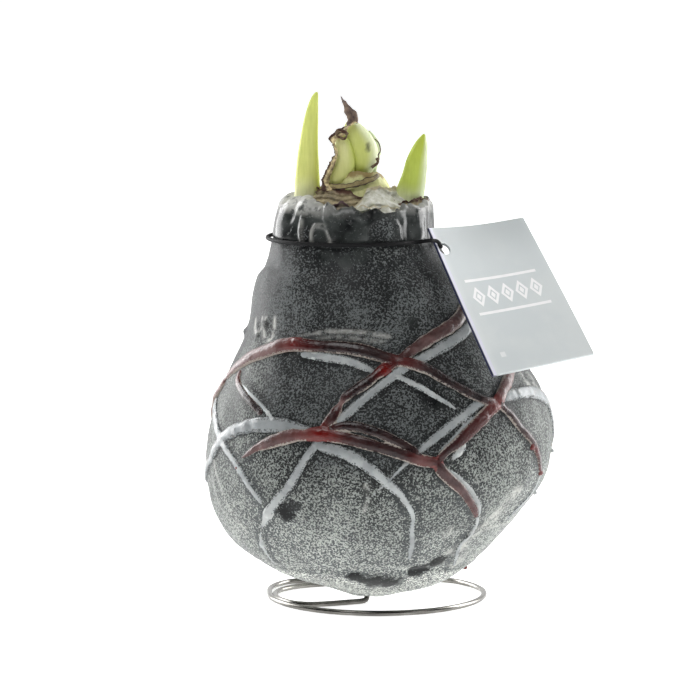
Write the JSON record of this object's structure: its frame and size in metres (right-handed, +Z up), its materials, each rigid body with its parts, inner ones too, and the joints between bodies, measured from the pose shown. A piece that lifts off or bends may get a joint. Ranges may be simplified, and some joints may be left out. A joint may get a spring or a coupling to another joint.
{
  "type": "waxed amaryllis bulb",
  "caption": "Sprouting amaryllis bulb in a dark wax coat with red and white wax drizzle, standing on a wire ring, with a folded card tag on an elastic cord.",
  "frame": {"origin": "middle of the whole object's outline, on the plane that the wire ring stands on", "axes": "+Z up, +X to the right when the tag hangs on the right front, +Y away from the viewer"},
  "size_m": [0.1132, 0.1034, 0.1485],
  "materials": {
    "grey_wax": "dark grey wax with a fine pale bloom, satin to glossy",
    "bulb_flesh": "pale plant flesh",
    "red_wax": "deep red translucent wax, glossy",
    "white_wax": "whitish grey wax, satin",
    "leaf_green": "smooth fresh green leaf",
    "bud_green": "pale yellow-green bud flesh",
    "dry_brown": "dry brown plant skin",
    "dry_paper": "papery beige scale",
    "elastic": "black braided elastic",
    "tag_card": "satin grey card",
    "steel_wire": "polished bright steel wire"
  },
  "bodies": {
    "root": {"wax_coat": "grey_wax", "bulb_body": "bulb_flesh", "red_wax_strands": "red_wax", "red_wax_trickle": "red_wax", "white_wax_strands": "white_wax", "white_wax_trickle": "white_wax", "left_leaf": "leaf_green", "right_leaf": "leaf_green", "bud_left_lobe": "bud_green", "bud_right_lobe": "bud_green", "withered_tip": "dry_brown", "dry_bud_skin": "dry_brown", "green_bud_scale": "bud_green", "dry_band_scale": "dry_brown", "papery_scale": "dry_paper", "fibrous_scale": "dry_paper", "back_neck_scale": "dry_brown", "outer_neck_scale": "dry_brown", "right_leaf_sheath": "dry_brown", "elastic_cord": "elastic", "swing_tag": "tag_card", "wire_stand": "steel_wire"}
  },
  "joints": []
}
